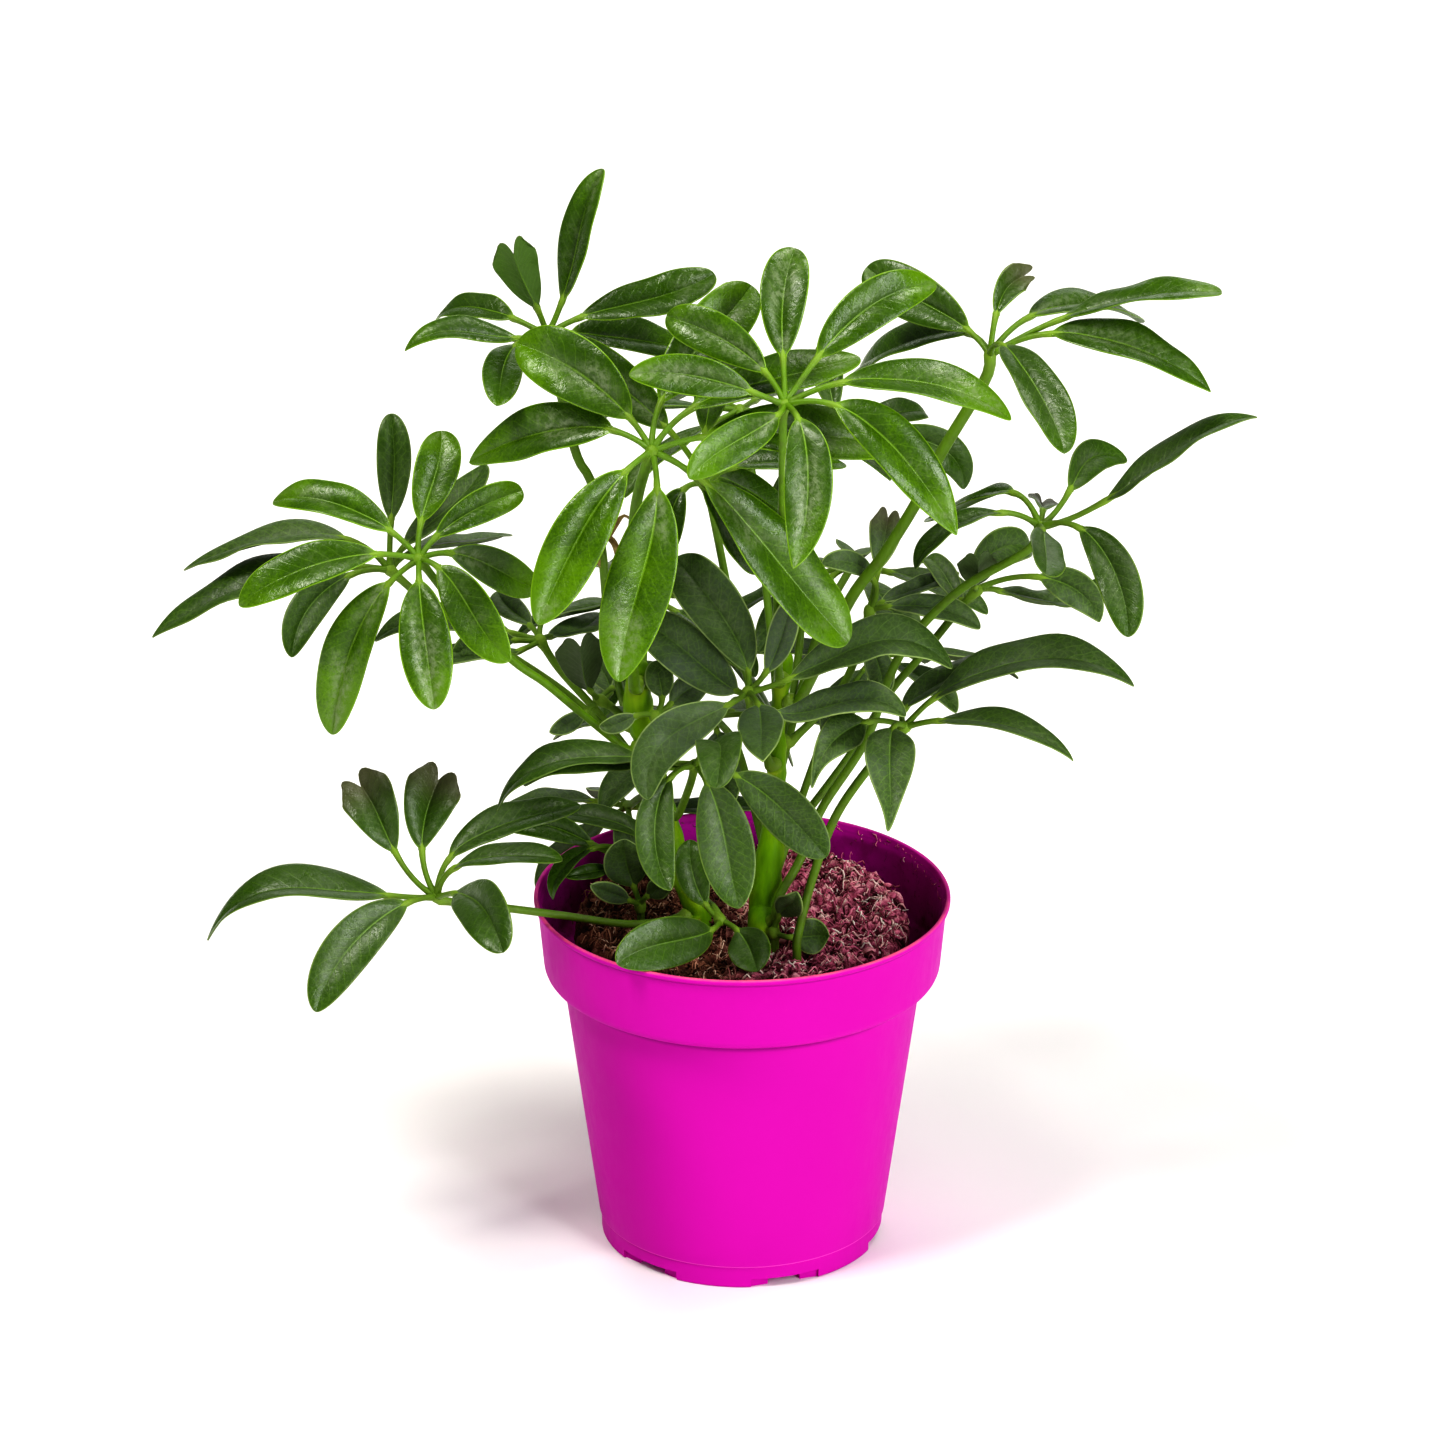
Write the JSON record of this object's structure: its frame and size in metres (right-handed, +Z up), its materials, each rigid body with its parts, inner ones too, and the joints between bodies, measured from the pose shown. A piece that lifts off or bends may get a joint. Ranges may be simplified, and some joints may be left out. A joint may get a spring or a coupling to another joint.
{
  "type": "potted dwarf umbrella tree",
  "caption": "Bushy umbrella plant with fans of glossy oblong green leaflets on slender stalks, rooted in a round magenta nursery pot with a broad rim band.",
  "frame": {"origin": "middle of the pot's flat foot, on the surface that the pot stands on", "axes": "+Z up along the pot's axis, -Y towards the picture's viewer, +X to the viewer's right"},
  "size_m": [0.2727, 0.1732, 0.2796],
  "materials": {
    "pot": "satin magenta moulded plastic",
    "soil": "coarse peat and coir, dark brown, fibrous",
    "stem": "green to olive young bark",
    "leaf_bright": "glossy bright green leaf",
    "leaf_dark": "glossy dark green leaf"
  },
  "bodies": {
    "root": {"leaf_back_left": "leaf_dark", "leaf_back_low": "leaf_dark", "leaf_back_low_left": "leaf_dark", "leaf_back_low_right": "leaf_dark", "leaf_back_right": "leaf_dark", "leaf_back_upper": "leaf_bright", "leaf_back_upper_left": "leaf_dark", "leaf_behind_front": "leaf_bright", "leaf_far_left": "leaf_dark", "leaf_front_left": "leaf_bright", "leaf_front_low_left": "leaf_dark", "leaf_front_right": "leaf_bright", "leaf_inner_back": "leaf_dark", "leaf_inner_left": "leaf_dark", "leaf_inner_middle": "leaf_dark", "leaf_inner_right": "leaf_bright", "leaf_left": "leaf_bright", "leaf_low_left": "leaf_dark", "leaf_low_right": "leaf_dark", "leaf_middle": "leaf_dark", "leaf_middle_low": "leaf_dark", "leaf_over_rim": "leaf_dark", "leaf_right": "leaf_dark", "leaf_right_lower": "leaf_dark", "leaf_top_left": "leaf_bright", "leaf_top_right": "leaf_bright", "pot": "pot", "shoot_front_left": "leaf_dark", "shoot_right": "leaf_dark", "soil": "soil", "stem_left": "stem", "stem_main": "stem"}
  },
  "joints": []
}
